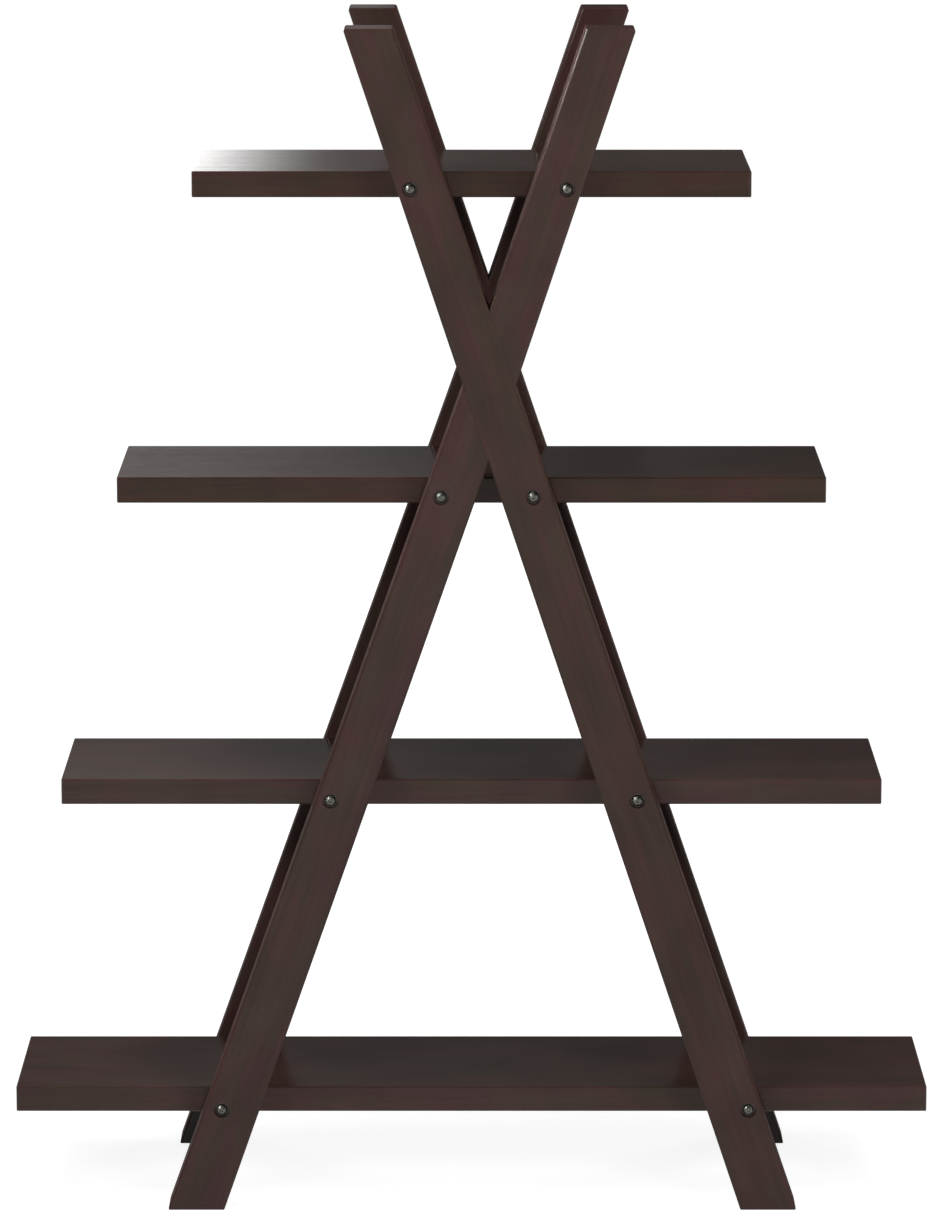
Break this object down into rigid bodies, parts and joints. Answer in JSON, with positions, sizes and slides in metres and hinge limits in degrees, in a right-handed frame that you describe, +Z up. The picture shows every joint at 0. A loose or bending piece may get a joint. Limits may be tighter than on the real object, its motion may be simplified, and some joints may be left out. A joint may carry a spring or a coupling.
{
  "type": "bookcase",
  "caption": "Open bookcase of plank shelves that grow longer towards the floor, bolted between a front and a back X frame of flush crossing legs.",
  "frame": {"origin": "on the floor, under the middle of the shelves' length and depth", "axes": "+Z up; +X to the viewer's right when looking at the front; +Y from the front to the back"},
  "size_m": [0.93, 0.293, 1.2],
  "materials": {
    "espresso_wood": "satin espresso lacquer over close-grained wood",
    "steel": "bright zinc-plated steel",
    "nut_steel": "plain zinc-plated steel",
    "dowel_wood": "bare beech"
  },
  "bodies": {
    "root": {"top_shelf": "espresso_wood", "second_shelf": "espresso_wood", "third_shelf": "espresso_wood", "bottom_shelf": "espresso_wood", "front_long_leg": "espresso_wood", "back_long_leg": "espresso_wood", "front_upper_short_leg": "espresso_wood", "back_upper_short_leg": "espresso_wood", "front_lower_short_leg": "espresso_wood", "back_lower_short_leg": "espresso_wood", "front_crossing_dowels": "dowel_wood", "back_crossing_dowels": "dowel_wood", "top_shelf_front_left_bolt": "steel", "top_shelf_front_right_bolt": "steel", "top_shelf_back_left_bolt": "steel", "top_shelf_back_right_bolt": "steel", "second_shelf_front_left_bolt": "steel", "second_shelf_front_right_bolt": "steel", "second_shelf_back_left_bolt": "steel", "second_shelf_back_right_bolt": "steel", "third_shelf_front_left_bolt": "steel", "third_shelf_front_right_bolt": "steel", "third_shelf_back_left_bolt": "steel", "third_shelf_back_right_bolt": "steel", "bottom_shelf_front_left_bolt": "steel", "bottom_shelf_front_right_bolt": "steel", "bottom_shelf_back_left_bolt": "steel", "bottom_shelf_back_right_bolt": "steel", "top_shelf_washers": "steel", "second_shelf_washers": "steel", "third_shelf_washers": "steel", "bottom_shelf_washers": "steel", "top_shelf_front_left_nut": "nut_steel", "top_shelf_front_right_nut": "nut_steel", "top_shelf_back_left_nut": "nut_steel", "top_shelf_back_right_nut": "nut_steel", "second_shelf_front_left_nut": "nut_steel", "second_shelf_front_right_nut": "nut_steel", "second_shelf_back_left_nut": "nut_steel", "second_shelf_back_right_nut": "nut_steel", "third_shelf_front_left_nut": "nut_steel", "third_shelf_front_right_nut": "nut_steel", "third_shelf_back_left_nut": "nut_steel", "third_shelf_back_right_nut": "nut_steel", "bottom_shelf_front_left_nut": "nut_steel", "bottom_shelf_front_right_nut": "nut_steel", "bottom_shelf_back_left_nut": "nut_steel", "bottom_shelf_back_right_nut": "nut_steel"}
  },
  "joints": []
}
